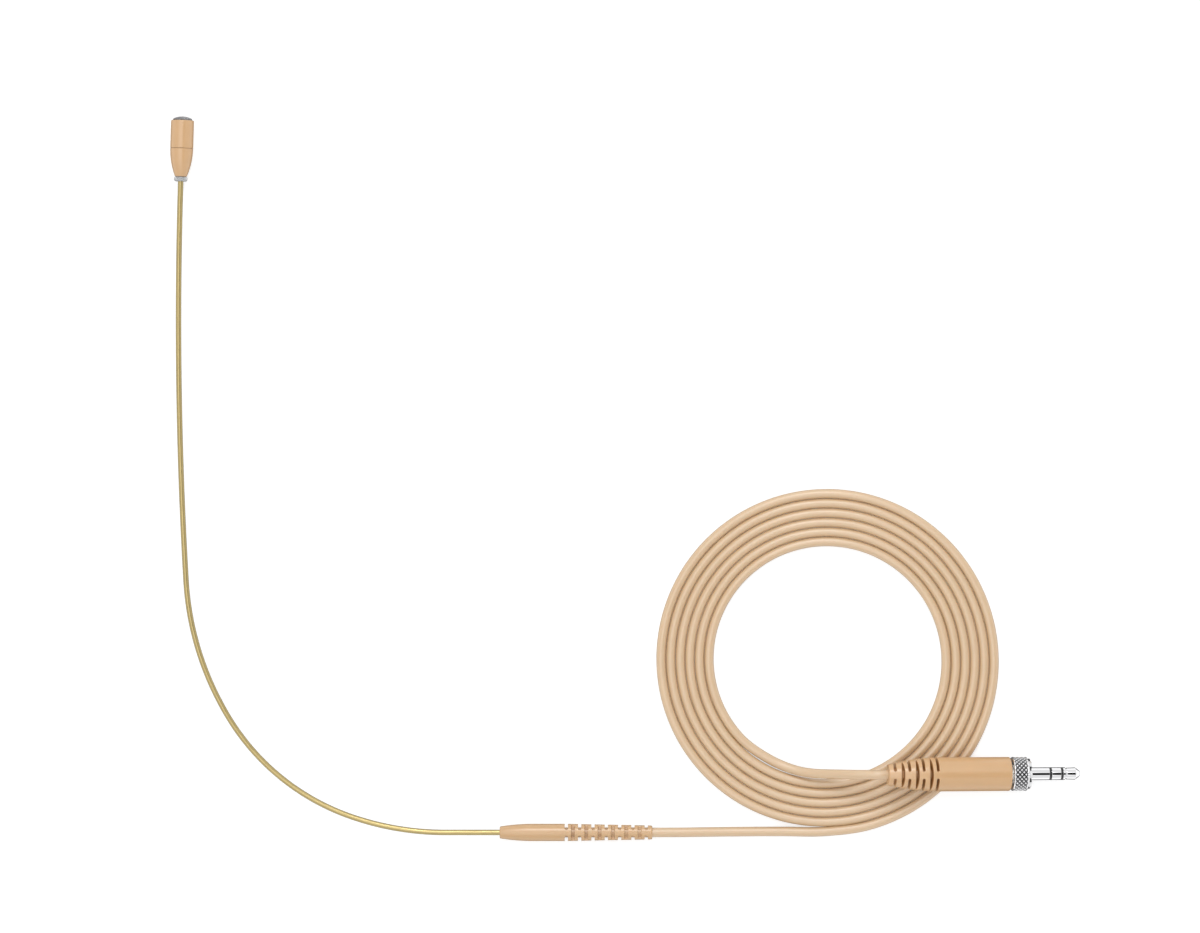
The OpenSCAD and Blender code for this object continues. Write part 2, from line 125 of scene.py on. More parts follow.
def add_camera():
    seen_width = 328.8 * MM
    lens, sensor = 200, 36                       # a long lens, both in millimetres of film
    aim = Vector((-6.9 * MM, 3.4 * MM, 0))       # from the middle of the object's box
    data = bpy.data.cameras.new("camera")
    data.lens = lens
    data.sensor_width = sensor
    data.clip_start = 10 * MM
    camera = bpy.data.objects.new("camera", data)
    bpy.context.scene.collection.objects.link(camera)
    middle = (Vector(cad_box[0]) + Vector(cad_box[1])) / 2
    height = seen_width * lens / sensor + grip.at(0).z
    camera.location = (middle.x + aim.x, middle.y + aim.y, height)
    bpy.context.scene.camera = camera


# --- Mesh building --------------------------------------------------------------------------------

SHARP_ANGLE = math.radians(38)
ON_AXIS = 1e-7                # a radius below this is a point on the axis
STRAIGHT = 1e-4               # an angle below this, in radians, is no bend


def make_mesh(name, points, faces, uvs, material):
    """A smooth-shaded mesh object. uvs holds one (u, v) in metres for each point."""
    mesh = bpy.data.meshes.new(name)
    mesh.from_pydata(points, [], faces)
    layer = mesh.uv_layers.new(name="lay")
    for loop in mesh.loops:
        layer.data[loop.index].uv = uvs[loop.vertex_index]
    mesh.polygons.foreach_set("use_smooth", [True] * len(mesh.polygons))
    mesh.set_sharp_from_angle(angle=SHARP_ANGLE)
    mesh.materials.append(material)
    piece = bpy.data.objects.new(name, mesh)
    bpy.context.scene.collection.objects.link(piece)
    return piece


def fillet(corners, steps=5):
    """An outline of (r, z) corners, where a third number rounds that corner off by a radius."""
    outline = []
    count = len(corners)
    for i, corner in enumerate(corners):
        here = Vector(corner[:2])
        if len(corner) < 3:
            outline.append(tuple(here))
            continue
        before = (Vector(corners[(i - 1) % count][:2]) - here).normalized()
        after = (Vector(corners[(i + 1) % count][:2]) - here).normalized()
        half = before.angle(after) / 2
        centre = here + (before + after).normalized() * corner[2] / math.sin(half)
        first = here + before * corner[2] / math.tan(half) - centre
        last = here + after * corner[2] / math.tan(half) - centre
        turn = math.atan2(first.x * last.y - first.y * last.x, first.dot(last))
        for k in range(steps + 1):
            c, s = math.cos(turn * k / steps), math.sin(turn * k / steps)
            outline.append((centre.x + c * first.x - s * first.y,
                            centre.y + s * first.x + c * first.y))
    return outline


def swept(radius, sweep_r, widest, z):
    """The radius at z of a side that draws in, by a circular sweep, from the widest height."""
    return radius - sweep_r + math.sqrt(sweep_r**2 - (z - widest)**2)


def round_foot(inner, r, z, edge):
    """The outline of a foot at z from an inner radius out to r, with the outer edge rounded off."""
    quarter = [math.pi / 10 * k for k in range(1, 5)]
    return [(inner, z), (r - edge, z)] + [
        (r - edge + edge * math.sin(a), z + edge - edge * math.cos(a)) for a in quarter]


def lathe(name, place, outline, material, sides=96, shape=None):
    """Turns a closed outline of (r, z) about a Place. shape(r, z, angle) may move each point.

    The attribute "sunk" holds how far each point was moved in.
    """
    points, uvs, rows, sunk = [], [], [], []
    run = 0
    for i, (r, z) in enumerate(outline):
        if i:
            run += math.hypot(r - outline[i - 1][0], z - outline[i - 1][1])
        if r < ON_AXIS:
            rows.append([len(points)] * sides)
            points.append((0, 0, z))
            uvs.append((0, run))
            sunk.append(0)
            continue
        rows.append(list(range(len(points), len(points) + sides)))
        for k in range(sides):
            angle = TURN * k / sides
            new_r, new_z = shape(r, z, angle) if shape else (r, z)
            points.append((new_r * math.cos(angle), new_r * math.sin(angle), new_z))
            uvs.append((r * angle, run))
            sunk.append(r - new_r)
    faces = []
    for low, high in zip(rows, rows[1:] + rows[:1]):
        for k in range(sides):
            ring = (low[k], low[(k + 1) % sides], high[(k + 1) % sides], high[k])
            face = list(dict.fromkeys(ring))
            if len(face) > 2:
                faces.append(face)
    piece = make_mesh(name, points, faces, uvs, material)
    piece.data.attributes.new("sunk", "FLOAT", "POINT").data.foreach_set("value", sunk)
    piece.matrix_world = place.matrix
    return piece


def tube(name, path, radius, sides, material, capped=True):
    """A round tube of one radius along a dense path, with no twist."""
    points, uvs, faces = [], [], []
    side = None
    run = 0
    last = len(path) - 1
    for i, here in enumerate(path):
        along = (path[min(i + 1, last)] - path[max(i - 1, 0)]).normalized()
        side = along.orthogonal() if side is None else side - along * side.dot(along)
        side.normalize()
        other = along.cross(side)
        run += (here - path[max(i - 1, 0)]).length
        for k in range(sides):
            angle = TURN * k / sides
            points.append(here + radius * (math.cos(angle) * side + math.sin(angle) * other))
            uvs.append((radius * angle, run))
    for i in range(last):
        for k in range(sides):
            a, b = i * sides + k, i * sides + (k + 1) % sides
            faces.append((a, b, b + sides, a + sides))
    if capped:
        faces.append(tuple(range(sides - 1, -1, -1)))
        faces.append(tuple(last * sides + k for k in range(sides)))
    return make_mesh(name, points, faces, uvs, material)


def smooth_path(points, step):
    """A dense path through given points, about one step between its own points."""
    points = [Vector(p) for p in points]
    ends = [2 * points[0] - points[1]] + points + [2 * points[-1] - points[-2]]
    path = []
    for i in range(1, len(ends) - 2):
        a, b, c, d = ends[i - 1:i + 3]
        gaps = [max((q - p).length, 1e-9) ** 0.5 for p, q in ((a, b), (b, c), (c, d))]
        t0, t1, t2 = gaps
        leave = ((b - a) / t0 - (c - a) / (t0 + t1) + (c - b) / t1) * t1
        arrive = ((c - b) / t1 - (d - b) / (t1 + t2) + (d - c) / t2) * t1
        count = max(1, round((c - b).length / step))
        for k in range(count):
            t = k / count
            path.append(b * (2 * t**3 - 3 * t**2 + 1) + leave * (t**3 - 2 * t**2 + t)
                        + c * (3 * t**2 - 2 * t**3) + arrive * (t**3 - t**2))
    path.append(points[-1])
    return path


# --- Materials ------------------------------------------------------------------------------------

# Most of what a noise node gives lies between these two.
NOISE_LOW, NOISE_HIGH = 0.3, 0.7


class Finish:
    """A Principled material and the nodes that vary it over the surface."""

    def __init__(self, name, **sockets):
        self.material = bpy.data.materials.new(name)
        self.material.use_nodes = True
        self.tree = self.material.node_tree
        self.shader = self.tree.nodes["Principled BSDF"]
        for socket, value in sockets.items():
            self.shader.inputs[socket.replace("_", " ")].default_value = value

    def add(self, kind, **settings):
        node = self.tree.nodes.new(kind)
        for key, value in settings.items():
            setattr(node, key, value)
        return node

    def link(self, source, target):
        self.tree.links.new(source, target)

    def grain(self, scale, detail=3.0, stretch=(1, 1, 1), source="Object"):
        """Noise over the piece. scale is in features per metre, along the axes of stretch."""
        place = self.add("ShaderNodeTexCoord")
        sizes = self.add("ShaderNodeMapping")
        sizes.inputs["Scale"].default_value = stretch
        noise = self.add("ShaderNodeTexNoise")
        noise.inputs["Scale"].default_value = scale
        noise.inputs["Detail"].default_value = detail
        self.link(place.outputs[source], sizes.inputs["Vector"])
        self.link(sizes.outputs["Vector"], noise.inputs["Vector"])
        return noise.outputs[0]

    def colours(self, factor, first, last, from_low=NOISE_LOW, to_high=NOISE_HIGH):
        """Runs from the first colour to the last one over the noise's usual range."""
        ramp = self.add("ShaderNodeValToRGB")
        stops = ((from_low, first), (to_high, last))
        for element, (position, colour) in zip(ramp.color_ramp.elements, stops):
            element.position = position
            element.color = (*colour, 1)
        self.link(factor, ramp.inputs["Fac"])
        self.link(ramp.outputs["Color"], self.shader.inputs["Base Color"])

    def scatter(self, weight, depth):
        """Lets light in, down to about this depth, and out again redder."""
        inputs = self.shader.inputs
        inputs["Subsurface Weight"].default_value = weight
        inputs["Subsurface Radius"].default_value = (1.0, 0.5, 0.25)
        inputs["Subsurface Scale"].default_value = depth

    def paint_shade_in_hollows(self, start, end, tint):
        """Paints shade into what lies below the surface: the tint grows from a depth of start to a depth of end.
        """
        sunk = self.add("ShaderNodeAttribute", attribute_name="sunk")
        span = self.add("ShaderNodeMapRange")
        span.inputs["From Min"].default_value = start
        span.inputs["From Max"].default_value = end
        mix = self.add("ShaderNodeMixRGB", blend_type="MULTIPLY")
        mix.inputs["Color2"].default_value = (*tint, 1)
        base = self.shader.inputs["Base Color"]
        self.link(sunk.outputs["Fac"], span.inputs["Value"])
        self.link(span.outputs["Result"], mix.inputs["Fac"])
        self.link(base.links[0].from_socket, mix.inputs["Color1"])
        self.link(mix.outputs["Color"], base)

    def rough(self, factor, low, high):
        """Varies the roughness between low and high over the noise's usual range."""
        span = self.add("ShaderNodeMapRange")
        span.inputs["From Min"].default_value = NOISE_LOW
        span.inputs["From Max"].default_value = NOISE_HIGH
        span.inputs["To Min"].default_value = low
        span.inputs["To Max"].default_value = high
        self.link(factor, span.inputs["Value"])
        self.link(span.outputs["Result"], self.shader.inputs["Roughness"])

    def bump(self, height, depth, strength=1.0):
        """Adds a relief. Calls stack, each on top of the last."""
        bump = self.add("ShaderNodeBump")
        bump.inputs["Strength"].default_value = strength
        bump.inputs["Distance"].default_value = depth
        self.link(height, bump.inputs["Height"])
        normal = self.shader.inputs["Normal"]
        if normal.links:
            self.link(normal.links[0].from_socket, bump.inputs["Normal"])
        self.link(bump.outputs["Normal"], normal)


def shade(colour, amount):
    """A colour made darker or lighter."""
    return tuple(c * amount for c in colour)


def painted():
    """Satin skin-tone paint on the capsule, with the fine texture of a sprayed coat."""
    f = Finish("capsule_paint", Specular_IOR_Level=1.0)
    f.colours(f.grain(420, 4), shade(SKIN, 0.96), shade(SKIN, 0.99))
    f.rough(f.grain(1600), 0.29, 0.31)
    f.bump(f.grain(3200, 2), 0.005 * MM, 0.4)
    return f.material


def moulded(name, colour, slot_shade_tint, gloss, coat, low, high):
    """Skin-tone elastomer of the grip and of the plug cover, with a fine mould texture.

    The slot tint is painted shade that darkens the depth of the slots, and low and high are the least and the most
    roughness.
    """
    f = Finish(name, Specular_IOR_Level=gloss, Coat_Weight=coat, Coat_IOR=1.8, Coat_Roughness=0.3)
    f.scatter(0.12, 0.5 * MM)
    f.colours(f.grain(260, 5), shade(colour, 0.98), shade(colour, 1.02), 0.28, 0.72)
    # Painted shade: the slots darken with depth, in place of the shade that falls inside them.
    f.paint_shade_in_hollows(0.1 * MM, 1.2 * MM, slot_shade_tint)
    f.rough(f.grain(1300), low, high)
    f.bump(f.grain(6500, 2), 0.006 * MM, 0.4)
    f.bump(f.grain(700, 2), 0.012 * MM, 0.25)
    return f.material


def jacket():
    """The cable's smooth extruded jacket: faint flow lines along it and a soft gloss."""
    f = Finish("cable_jacket", Specular_IOR_Level=1.0,
               Coat_Weight=1.0, Coat_IOR=1.8, Coat_Roughness=0.38)
    f.scatter(0.15, 0.4 * MM)
    f.colours(f.grain(240, 4, (1, 0.3, 1), "UV"), shade(CABLE, 0.98), shade(CABLE, 1.02))
    f.rough(f.grain(900, 3, (1, 0.2, 1), "UV"), 0.42, 0.52)
    f.bump(f.grain(2400, 2, (1, 0.04, 1), "UV"), 0.012 * MM, 0.5)
    f.bump(f.grain(5200, 2, (1, 1, 1), "UV"), 0.006 * MM, 0.5)
    return f.material


def metal(name, colour, low, high, stretch=(1, 1, 1), source="Object", scale=1800, depth=0.006,
          tone=0.05, groove=None):
    """A plated or drawn metal. stretch sets the lay of its marks, and its hollows get painted shade that grows
    down to the depth groove.
    """
    groove_shade_tint = (0.12, 0.12, 0.125)
    f = Finish(name, Metallic=1.0)
    f.colours(f.grain(scale / 4, 4, stretch, source), shade(colour, 1 - tone), colour)
    # Painted shade: hollows turn near black with depth, in place of the shade that falls inside them.
    if groove:
        f.paint_shade_in_hollows(0, groove, groove_shade_tint)
    f.rough(f.grain(scale, 3, stretch, source), low, high)
    f.bump(f.grain(scale * 2, 2, stretch, source), depth * MM, 0.5)
    return f.material


def hidden_plastic(name, colour, low=0.3, high=0.5, scale=900):
    """A small moulded piece inside the object."""
    f = Finish(name)
    f.colours(f.grain(scale, 4), shade(colour, 0.88), shade(colour, 1.08))
    f.rough(f.grain(scale * 2), low, high)
    f.bump(f.grain(scale * 5, 2), 0.01 * MM, 0.5)
    return f.material


def clear_silicone():
    """Cloudy see-through silicone of the drip ring."""
    f = Finish("clear_silicone", Transmission_Weight=0.5, IOR=1.41)
    f.colours(f.grain(500, 3), (0.56, 0.57, 0.58), (0.64, 0.65, 0.66))
    f.rough(f.grain(1200), 0.2, 0.32)
    f.bump(f.grain(1500, 2), 0.02 * MM, 0.4)
    return f.material


def felt():
    """Dark felt behind the mesh."""
    f = Finish("felt", Sheen_Weight=0.5, Sheen_Roughness=0.6)
    f.colours(f.grain(3500, 6), (0.03, 0.03, 0.03), (0.12, 0.12, 0.12))
    f.rough(f.grain(2000), 0.85, 0.98)
    f.bump(f.grain(7000, 5), 0.06 * MM, 1.0)
    return f.material


# Base colours, linear.
SKIN = (0.57, 0.345, 0.165)
GRIP = (0.53, 0.315, 0.135)
CABLE = (0.575, 0.385, 0.205)
GOLD = (0.48, 0.38, 0.175)

# By material slot. The two numbers after a colour are the least and the most roughness.
materials = {
    "capsule_paint": painted(),
    "grip": moulded("grip_elastomer", GRIP, slot_shade_tint=(0.88, 0.76, 0.58), gloss=0.4, coat=0.9,
                    low=0.42, high=0.5),
    "plug_cover": moulded("plug_elastomer", SKIN, slot_shade_tint=(0.75, 0.58, 0.32), gloss=1.0, coat=0.0,
                          low=0.29, high=0.31),
    "cable": jacket(),
    "boom_gold": metal("boom_gold", GOLD, 0.24, 0.38, (1, 0.05, 1), "UV", 4200),
    "steel_mesh": metal("steel_mesh", (0.34, 0.34, 0.35), 0.3, 0.45),
    "knurled_nickel": metal("knurled_nickel", (0.90, 0.90, 0.91), 0.14, 0.26, scale=2600,
                            groove=0.3 * MM),
    "nickel": metal("nickel", (0.72, 0.71, 0.68), 0.2, 0.35),
    "jack_chrome": metal("jack_chrome", (0.87, 0.87, 0.88), 0.02, 0.06, scale=1400, depth=0.001,
                         tone=0.02),
    "aluminium": metal("aluminium", (0.75, 0.76, 0.78), 0.3, 0.45),
    "brass": metal("brass", (0.72, 0.54, 0.27), 0.25, 0.42),
    "dark_metal": metal("dark_metal", (0.16, 0.16, 0.17), 0.35, 0.5),
    "solder": metal("solder", (0.66, 0.67, 0.70), 0.22, 0.5, depth=0.02),
    "film": metal("film", (0.85, 0.75, 0.45), 0.12, 0.2, depth=0.002),
    "clear_silicone": clear_silicone(),
    "felt": felt(),
    "insulator_white": hidden_plastic("insulator_white", (0.80, 0.77, 0.70)),
    "board": hidden_plastic("board", (0.03, 0.20, 0.07)),
    "black_plastic": hidden_plastic("black_plastic", (0.02, 0.02, 0.021), 0.18, 0.3),
    "black_rubber": hidden_plastic("black_rubber", (0.03, 0.03, 0.03), 0.6, 0.8),
    "wire": hidden_plastic("wire", (0.42, 0.13, 0.05), 0.35, 0.5),
}

# Every CAD node wears its slot's material; the pieces below take the place of those that show.
for node_name, node in nodes.items():
    node.data.materials.clear()
    node.data.materials.append(materials[slot_of[node_name]])


def finish(piece, body, slot, *replaced):
    """Attaches a new piece to its body, when it has one, and hides the CAD nodes that it stands for. The slot is
    not used.
    """
    if body:
        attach(piece, body)
    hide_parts(*replaced)
    return piece


# --- Cable: out of the grip, six wound turns, and up over them into the plug ----------------------

# The points of the route, as in the CAD source, from the grip to the coil and from the coil to the plug.
EXIT = grip.at(grip.span("grip_sleeve")[1])
LEAD_ROUTE = [
    (0.07400, -0.09685, 0.00210), (0.07900, -0.09680, 0.00175), (0.08400, -0.09675, 0.00145),
    (0.09000, -0.09670, 0.00130), (0.09600, -0.09665, 0.00130), (0.10200, -0.09665, 0.00130),
]
TAIL_ROUTE = [
    (0.0980, -0.0768, 0.0013), (0.1020, -0.0787, 0.0016), (0.1060, -0.0800, 0.0026),
    (0.1100, -0.0806, 0.0041), (0.1140, -0.0807, 0.0059), (0.1180, -0.0807, 0.0077),
    (0.1215, -0.0807, 0.0091), (0.1250, -0.0807, 0.0100),
]
COIL_TURNS = 6
COIL_PITCH = 2.62 * MM        # a little more than the cable's diameter
COIL_EDGE = 0.6 * MM          # from the middle of the outermost turn to the CAD ring's edge
POINTS_A_TURN = 24
TAIL_LEAVES = 2               # points left off the innermost turn, where the tail takes over


def coil_points():
    """The wound turns, from the bottom of the outermost one inwards."""
    low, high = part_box("cable_coil")
    centre = (low + high) / 2
    outer = (high.x - low.x) / 2 - COIL_EDGE
    points = []
    for i in range(COIL_TURNS * POINTS_A_TURN - TAIL_LEAVES):
        turns = i / POINTS_A_TURN
        angle = TURN * (turns - 0.25)
        radius = outer - COIL_PITCH * turns
        points.append((centre.x + radius * math.cos(angle), centre.y + radius * math.sin(angle),
                       centre.z))
    return points


def add_cable():
    """The whole cord: its piece, the points it runs through, its length and its diameter."""
    low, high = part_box("cable_coil")
    radius = (high.z - low.z) / 2
    step = 1.1 * MM
    # Where the cable lies on the grip's axis and on the plug's, most of it inside them.
    on_grip = [15 * MM, 28 * MM]
    on_plug = [-2.5 * MM, -1.5 * MM, 8 * MM, 20 * MM]
    past_exit = EXIT + Vector((3 * MM, 0, -0.05 * MM))
    route = [grip.at(z) for z in on_grip] + [EXIT, past_exit]
    route += LEAD_ROUTE + coil_points() + TAIL_ROUTE + [plug.at(z) for z in on_plug]
    path = [Vector((p.x, p.y, max(p.z, radius))) for p in smooth_path(route, step)]
    cable = tube("cable", path, radius, 24, materials["cable"])
    finish(cable, "root", "cable", "cable_lead", "cable_coil", "cable_tail", "cable_grip_end",
           "cable_plug_end")
    length = sum((b - a).length for a, b in zip(path, path[1:]))
    return cable, path, length, 2 * radius


# --- Boom: one bent tube, in five pieces that each run across one joint ---------------------------

BOOM_JOINTS = ["boom_root_bend", "boom_lift", "boom_mid_bend", "boom_upper_lift", "capsule_aim"]
BOOM_SPANS = ["root", "lower", "bend", "middle", "upper", "tip"]      # of tube, one for each body


def arc(start, heading, end, step):
    """The circular arc that leaves start along heading and meets end: points, and last heading."""
    chord = end - start
    half = heading.angle(chord)
    count = max(2, round(chord.length / step))
    if half < STRAIGHT:
        return [start + chord * k / count for k in range(count + 1)], heading
    inward = (chord - heading * chord.dot(heading)).normalized()
    radius = chord.length / (2 * math.sin(half))
    turns = [2 * half * k / count for k in range(count + 1)]
    points = [start + radius * (math.sin(t) * heading + (1 - math.cos(t)) * inward) for t in turns]
    return points, (math.cos(2 * half) * heading + math.sin(2 * half) * inward).normalized()


def add_boom():
    """Each piece runs from half way before a joint to half way past it."""
    step = 0.5 * MM
    radius = 0.75 * MM
    in_capsule = capsule.span("boom_ferrule")[1]
    inner_points = 6
    bends = [Vector(joints[name]["pos_m"]) for name in BOOM_JOINTS]
    heading = Vector((-1, 0, 0))
    start = Vector((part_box("boom_tube_root")[1].x, grip.at(0).y, grip.at(0).z))
    runs = []
    for end in bends + [capsule.at(0)]:
        points, heading = arc(start, heading, end, step)
        runs.append(points)
        start = end
    runs[-1] += [capsule.at(in_capsule * k / inner_points) for k in range(1, inner_points + 1)]
    for i, bend in enumerate(bends):
        before, after = runs[i], runs[i + 1]
        is_last = i == len(bends) - 1
        first = 0 if i == 0 else len(before) // 2
        last = len(after) if is_last else len(after) // 2 + 1
        path = before[first:] + after[1:last]
        name = f"boom_{BOOM_SPANS[i]}_{BOOM_SPANS[i + 1]}"
        piece = tube(name, path, radius, 24, materials["boom_gold"], capped=False)
        replaced = BOOM_SPANS[i:] if is_last else BOOM_SPANS[i:i + 1]
        finish(piece, None, "boom_gold", *(f"boom_tube_{span}" for span in replaced))
        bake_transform(piece)


# --- Capsule: cap with its mesh, housing and drip ring --------------------------------------------

def add_cap():
    low, high = capsule.span("cap_shell")
    radius = capsule.radius("cap_shell")
    opening = capsule.radius("cap_grille") + 0.02 * MM
    seat, ledge_r = 2.66 * MM, 2.3 * MM
    ledge = high - 2.1 * MM
    ledge_top = ledge + 0.3 * MM
    bevel = 0.1 * MM
    loop = 1.5 * MM               # rows this far from both ends keep the shading of the side even
    low -= 0.12 * MM              # the seam looks thinner than the gap that the CAD pieces keep
    outline = fillet([
        (seat, low + bevel), (seat + bevel, low), (radius, low, 0.07 * MM),
        (radius, low + loop), (radius, high - loop), (radius, high, 0.28 * MM),
        (opening, high, 0.06 * MM), (opening, ledge_top), (ledge_r, ledge_top),
        (ledge_r, ledge), (seat, ledge),
    ])
    cap = lathe("cap", capsule, outline, materials["capsule_paint"], 128)
    finish(cap, "cap", "capsule_paint", "cap_shell")


def add_grille():
    """Woven wires over a shallow dome, held in a rolled rim."""
    low, high = capsule.span("cap_grille")
    rim_r = capsule.radius("cap_grille")
    dome = 1 * MM                 # its height
    wire_r = 0.075 * MM
    pitch = 0.3 * MM
    weave = 0.07 * MM             # how far a wire goes over and under the others
    points_a_pitch = 6
    crown_r = rim_r - wire_r
    reach = int(crown_r / pitch)
    points, faces, uvs = [], [], []

    def add_wire(offset, turned, flip):
        half = math.sqrt(crown_r**2 - offset**2)
        count = max(points_a_pitch, round(2 * half / (pitch / points_a_pitch)))
        path = []
        for k in range(count + 1):
            s = -half + 2 * half * k / count
            lift = flip * weave * math.cos(math.pi * s / pitch)
            bulge = dome * math.sqrt(max(0, 1 - (offset**2 + s**2) / rim_r**2))
            z = high - dome - wire_r + bulge + lift
            path.append(Vector((offset, s, z) if turned else (s, offset, z)))
        wire = tube("wire", path, wire_r, 7, materials["steel_mesh"])
        start = len(points)
        points.extend(v.co.copy() for v in wire.data.vertices)
        faces.extend(tuple(start + v for v in p.vertices) for p in wire.data.polygons)
        uvs.extend((v.co.x, v.co.y) for v in wire.data.vertices)
        bpy.data.meshes.remove(wire.data)

    for i in range(-reach, reach + 1):
        flip = 1 if i % 2 else -1
        add_wire(i * pitch, False, flip)
        add_wire(i * pitch, True, -flip)
    mesh = make_mesh("grille_mesh", points, faces, uvs, materials["steel_mesh"])
    mesh.matrix_world = capsule.matrix
    finish(mesh, "cap", "steel_mesh", "cap_grille")
    rim_top = high - dome + 0.05 * MM
    rim_inner = rim_r - 0.24 * MM
    roll = 0.09 * MM
    rim = lathe("grille_rim", capsule, fillet([
        (rim_inner, low), (rim_r, low), (rim_r, rim_top, roll), (rim_inner, rim_top, roll),
    ]), materials["steel_mesh"])
    finish(rim, "cap", "steel_mesh")


def add_housing():
    low, top = capsule.span("capsule_housing")
    seam = capsule.span("cap_shell")[0] - 0.2 * MM
    radius = capsule.radius("capsule_housing")
    sweep_r = 20.5 * MM
    hole, spigot, seat, cavity = 1.38 * MM, 2.6 * MM, 2.35 * MM, 1.7 * MM
    seat_foot, cavity_foot = seam - 1 * MM, low + 2.3 * MM
    steps = 28
    edge = 0.25 * MM
    side_height = seam - 0.1 * MM - low - edge
    side = []
    for i in range(steps + 1):
        z = low + edge + side_height * i / steps
        side.append((swept(radius, sweep_r, seam, z), z))
    outline = round_foot(hole, side[0][0], low, edge) + side
    outline += fillet([
        (radius - 0.08 * MM, seam), (spigot, seam), (spigot, top, 0.15 * MM), (seat, top),
        (seat, seat_foot), (cavity, seat_foot), (cavity, cavity_foot), (hole, cavity_foot),
    ])
    housing = lathe("housing", capsule, outline, materials["capsule_paint"], 128)
    finish(housing, "capsule", "capsule_paint", "capsule_housing")


def add_drip_ring():
    low, high = capsule.span("drip_ring")
    radius = capsule.radius("drip_ring")
    tube_r, step_r = 0.77 * MM, 1.38 * MM
    step_z = low + 0.7 * MM
    round_r = 0.5 * MM
    ring = lathe("drip_ring_clear", capsule, fillet([
        (tube_r, low), (radius, low, round_r), (radius, high, round_r), (step_r, high),
        (step_r, step_z), (tube_r, step_z),
    ], 8), materials["clear_silicone"])
    finish(ring, "capsule", "clear_silicone", "drip_ring")


# --- Sleeves with a slotted bend relief -----------------------------------------------------------

class Slot:
    """A slot across a round sleeve, cut from two opposite sides down to a bridge and to the core.

    Sideways slots open to both sides, and the others to the top and the bottom. end_round rounds
    their corners at the bridge. With a lens, a slot narrows towards that distance from its middle.
    """

    LIP = 0.07 * MM               # the rounding of the slot's rim
    MARGIN = 0.35 * MM            # how far past the slot its rows of points still move

    def __init__(self, z, width, bridge, core, sideways, end_round, lens=None):
        self.z, self.half, self.bridge, self.core = z, width / 2, bridge, core
        self.sideways, self.end_round, self.lens = sideways, end_round, lens
        self.reach = self.half + self.MARGIN

    def stations(self):
        """The heights of the rows of points, closest together at the rim."""
        inside = [self.half * u for u in (0, 0.35, 0.6, 0.8, 0.92, 0.98, 1)]
        lip = [self.half + 0.002 * MM + self.LIP * u for u in (0, 0.08, 0.25, 0.5, 0.75, 1)]
        return sorted({self.z + s * d for s in (-1, 1) for d in inside + lip + [self.reach]})

    def shape(self, r, z, angle):
        away = abs(z - self.z)
        if away >= self.reach:
            return r, z
        depth, lateral = abs(math.sin(angle)), abs(math.cos(angle))
        if not self.sideways:
            depth, lateral = lateral, depth
        least = 0.03                  # a lens never closes quite to nothing
        narrow = math.sqrt(max(least, 1 - (r * lateral / self.lens)**2)) if self.lens else 1
        u = min(1, max(0, (away - self.half) / self.end_round + 1))
        wall = (self.bridge + self.end_round * (1 - math.sqrt(1 - u * u))) / max(depth, 1e-6)
        floor = max(self.core, wall)
        if away <= self.half:
            new_r = min(r, floor)
            new_away = away * narrow
        else:
            t = min(1, (away - self.half) / self.LIP)
            drop = self.LIP * (1 - math.sqrt(1 - (1 - t)**2))
            new_r = r - min(drop, max(0, r - floor))
            share = (away - self.half) / (self.reach - self.half)
            new_away = self.half * narrow + share * (self.reach - self.half * narrow)
        return new_r, self.z + math.copysign(new_away, z - self.z)


def slotted(slots):
    """The shape of a sleeve with these slots, for lathe."""
    def shape(r, z, angle):
        for slot in slots:
            if abs(z - slot.z) < slot.reach and r > slot.core:
                return slot.shape(r, z, angle)
        return r, z
    return shape


def outer_line(radius_at, from_z, to_z, step, slots):
    """Points up the outside of a sleeve, closer together at its slots."""
    count = round((to_z - from_z) / step)
    heights = [from_z + (to_z - from_z) * k / count for k in range(count + 1)]
    for slot in slots:
        heights = [z for z in heights if abs(z - slot.z) > slot.reach]
        heights += [z for z in slot.stations() if from_z < z < to_z]
    return [(radius_at(z), z) for z in sorted(set(heights))]


def add_grip():
    length = grip.span("grip_sleeve")[1]
    radius = grip.radius("grip_sleeve")
    nose, barrel_end = 9 * MM, 18 * MM
    sweep_r = 54.7 * MM
    end_r, bore, tube_r = 1.9 * MM, 1.32 * MM, 0.77 * MM
    cavity_r, cavity_from, cavity_to = 1.6 * MM, 5 * MM, 16 * MM
    floor = bore + 0.04 * MM      # a thin skin is left over the cable
    edge = 0.3 * MM
    slots = []
    first, pitch, count = barrel_end + 0.25 * MM, 3.65 * MM, 7
    for i in range(count):
        slots.append(Slot(first + i * pitch, 0.9 * MM, 0.8 * MM, floor, True, 0.45 * MM))
        if i < count - 1:
            z = first + (i + 0.5) * pitch
            slots.append(Slot(z, 1.0 * MM, 0.8 * MM, floor, False, 0.12 * MM))

    def radius_at(z):
        if z < nose:
            return swept(radius, sweep_r, nose, z)
        if z < barrel_end:
            return radius
        return radius + (end_r - radius) * (z - barrel_end) / (length - barrel_end)

    outline = round_foot(tube_r, radius_at(edge), 0, edge)
    outline += outer_line(radius_at, edge, length - 0.35 * MM, 0.5 * MM, slots)
    outline += fillet([
        (end_r + 0.01 * MM, length - 0.3 * MM), (end_r - 0.22 * MM, length, 0.12 * MM),
        (bore, length), (bore, cavity_to), (cavity_r, cavity_to), (cavity_r, cavity_from),
        (tube_r, cavity_from),
    ])
    sleeve = lathe("grip", grip, outline, materials["grip"], 144, slotted(slots))
    finish(sleeve, "root", "grip", "grip_sleeve")


